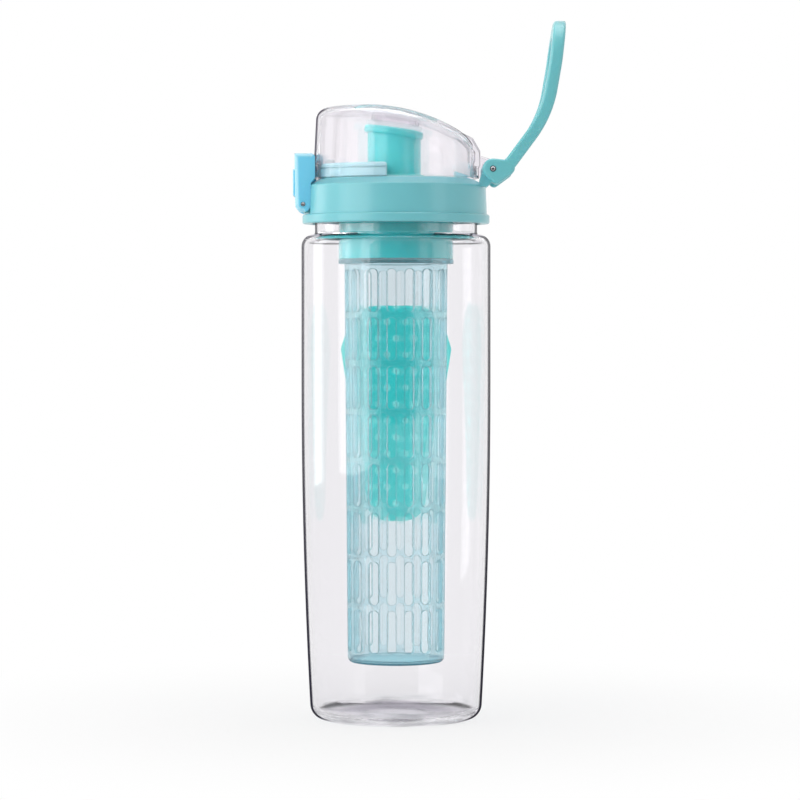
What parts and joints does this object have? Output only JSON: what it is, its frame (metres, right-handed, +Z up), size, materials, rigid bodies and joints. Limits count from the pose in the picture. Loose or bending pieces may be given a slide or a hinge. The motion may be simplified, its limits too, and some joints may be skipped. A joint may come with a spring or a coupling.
{
  "type": "fruit infuser water bottle",
  "caption": "Clear water bottle with a slotted infuser basket under a flip-top lid with a spout, a front latch and a swinging carry loop.",
  "frame": {"origin": "centre of the flat ring that the bottle stands on, on the bottle's axis", "axes": "+Z up along the bottle's axis; -X towards the latch, +X towards the hinge and the carry loop, +Y towards the grip pad"},
  "size_m": [0.1224, 0.0858, 0.3134],
  "materials": {
    "clear_plastic": "clear gloss",
    "cover_plastic": "clear gloss",
    "basket_plastic": "tinted clear gloss",
    "lid_plastic": "satin",
    "spout_plastic": "satin",
    "latch_plastic": "satin",
    "grip_silicone": "translucent matte",
    "seal_silicone": "translucent matte",
    "steel": "bright"
  },
  "bodies": {
    "bottle": {"bottle_body": "clear_plastic", "grip_pad": "grip_silicone"},
    "gasket": {"neck_gasket": "seal_silicone"},
    "lid": {"lid_collar": "lid_plastic", "lid_deck": "lid_plastic", "drinking_spout": "spout_plastic", "vent_valve": "seal_silicone", "hinge_pin": "steel", "hinge_spring": "steel", "latch_pin": "steel", "infuser_adapter": "lid_plastic"},
    "latch_arm": {"latch": "latch_plastic"},
    "cover": {"flip_cover": "cover_plastic", "spout_seal": "seal_silicone"},
    "handle": {"carry_loop": "lid_plastic"},
    "infuser": {"infuser_basket": "basket_plastic"}
  },
  "joints": [
    {"name": "lid_lift", "type": "slide", "parent": "bottle", "child": "gasket", "axis": [0, 0, 1], "range_m": [0, 0.235]},
    {"name": "lid_turn", "type": "hinge", "parent": "gasket", "child": "lid", "pos_m": [0, 0, 0.24], "axis": [0, 0, 1], "range_deg": [0, 450]},
    {"name": "latch_swing", "type": "hinge", "parent": "lid", "child": "latch_arm", "pos_m": [-0.0414, 0, 0.2307], "axis": [0, 1, 0], "range_deg": [-60, 0]},
    {"name": "cover_flip", "type": "hinge", "parent": "lid", "child": "cover", "pos_m": [0.04307, 0, 0.2462], "axis": [0, 1, 0], "range_deg": [0, 80]},
    {"name": "handle_swing", "type": "hinge", "parent": "lid", "child": "handle", "pos_m": [0.04307, 0, 0.2462], "axis": [0, 1, 0], "range_deg": [-80, 0]},
    {"name": "infuser_drop", "type": "slide", "parent": "lid", "child": "infuser", "axis": [0, 0, -1], "range_m": [0, 0.0125]}
  ]
}
